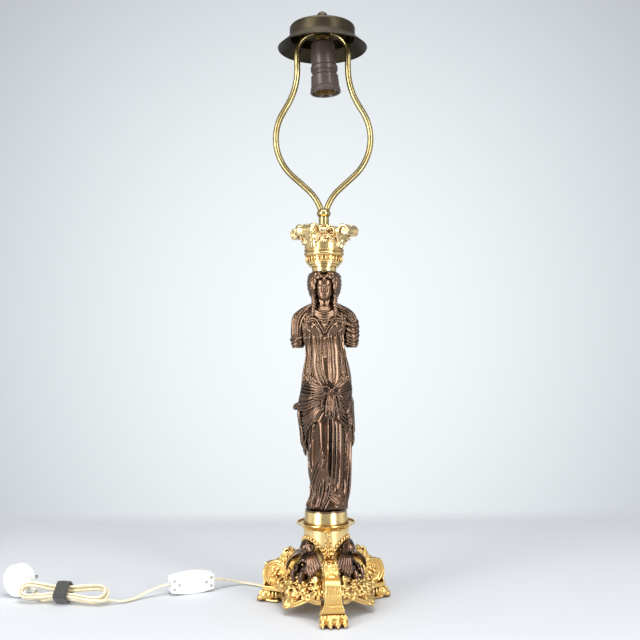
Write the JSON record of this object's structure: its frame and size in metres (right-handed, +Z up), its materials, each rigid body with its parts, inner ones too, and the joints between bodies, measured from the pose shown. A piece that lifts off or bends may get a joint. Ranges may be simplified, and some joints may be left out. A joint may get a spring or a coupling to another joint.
{
  "type": "table lamp",
  "caption": "Caryatid table lamp: robed bronze figure on a gilt lion-paw tripod, leafy capital, lyre harp with shade cap, hanging lampholder, flat cord with inline switch and plug.",
  "frame": {"origin": "on the table under the lamp's vertical axis, midway between the paws", "axes": "+Z up along the column, -Y toward the front leg and the viewer, +X to the viewer's right; the cord lies toward -X"},
  "size_m": [0.5307, 0.2073, 0.779],
  "materials": {
    "gilt": "bright fire-gilt bronze, worn brown in the hollows",
    "bronze": "dark brown patinated bronze with golden rubbed edges",
    "old_brass": "dark olive-brown aged brass",
    "brass": "polished brass, lightly tarnished",
    "bakelite": "dark brown bakelite, chipped at seam and rim",
    "ceramic": "unglazed white ceramic",
    "wire": "sheathed copper conductors",
    "steel": "zinc-plated steel",
    "white_plastic": "glossy white moulding",
    "black_plastic": "black insulating moulding",
    "cord": "beige flat twin flex, soft sheen",
    "tie": "black hook-and-loop tape"
  },
  "bodies": {
    "stand": {"harp_left": "brass", "harp_right": "brass", "harp_hub": "brass", "top_nipple": "brass", "nipple_nut": "brass", "holder_dome": "bakelite", "holder_insert": "ceramic", "screw_shell": "brass", "centre_contact": "brass", "harp_yoke": "brass", "lamp_wire": "wire", "capital": "gilt", "capital_leaves": "gilt", "capital_flowers": "gilt", "figure_head": "bronze", "figure_torso": "bronze", "figure_arm_left": "bronze", "figure_arm_right": "bronze", "figure_skirt": "bronze", "figure_sole": "bronze", "plinth_collar": "gilt", "plinth_dish": "gilt", "plinth_drum": "gilt", "pedestal": "gilt", "leg_front": "gilt", "leg_right": "gilt", "leg_left": "gilt", "paw_front": "gilt", "paw_right": "gilt", "paw_left": "gilt", "apron_front_left": "gilt", "apron_front_right": "gilt", "apron_back": "gilt", "genius_front_left": "bronze", "genius_front_right": "bronze", "genius_back": "bronze", "leg_screws": "brass", "genius_screws": "brass", "tie_tube": "steel", "base_washer": "steel", "base_nut": "steel", "cord_bush": "black_plastic", "cord_lamp": "cord", "switch_back": "white_plastic", "switch_front": "white_plastic", "switch_screws": "steel", "switch_contacts": "brass", "switch_wires": "wire", "cord_run": "cord", "cord_hank": "cord", "hank_tie": "tie", "cord_tail": "cord", "plug_relief": "white_plastic", "plug_body": "white_plastic", "plug_pins": "steel"},
    "cap": {"shade_cap": "old_brass"},
    "top_ball": {"finial": "old_brass"},
    "skirt_ring": {"holder_skirt": "bakelite"},
    "rocker": {"switch_rocker": "white_plastic"}
  },
  "joints": [
    {"name": "cap_turn", "type": "hinge", "parent": "stand", "child": "cap", "pos_m": [0, 0, 0.7583], "axis": [0, 0, 1], "continuous": true},
    {"name": "finial_turn", "type": "hinge", "parent": "stand", "child": "top_ball", "pos_m": [0, 0, 0.7598], "axis": [0, 0, 1], "continuous": true},
    {"name": "skirt_turn", "type": "hinge", "parent": "stand", "child": "skirt_ring", "pos_m": [0.00223, 0, 0.70004], "axis": [0.0558, 0, -0.9984], "continuous": true},
    {"name": "rocker_tilt", "type": "hinge", "parent": "stand", "child": "rocker", "pos_m": [-0.1908, 0.07684, 0.014], "axis": [0, 0, 1], "range_deg": [-14, 0]}
  ]
}
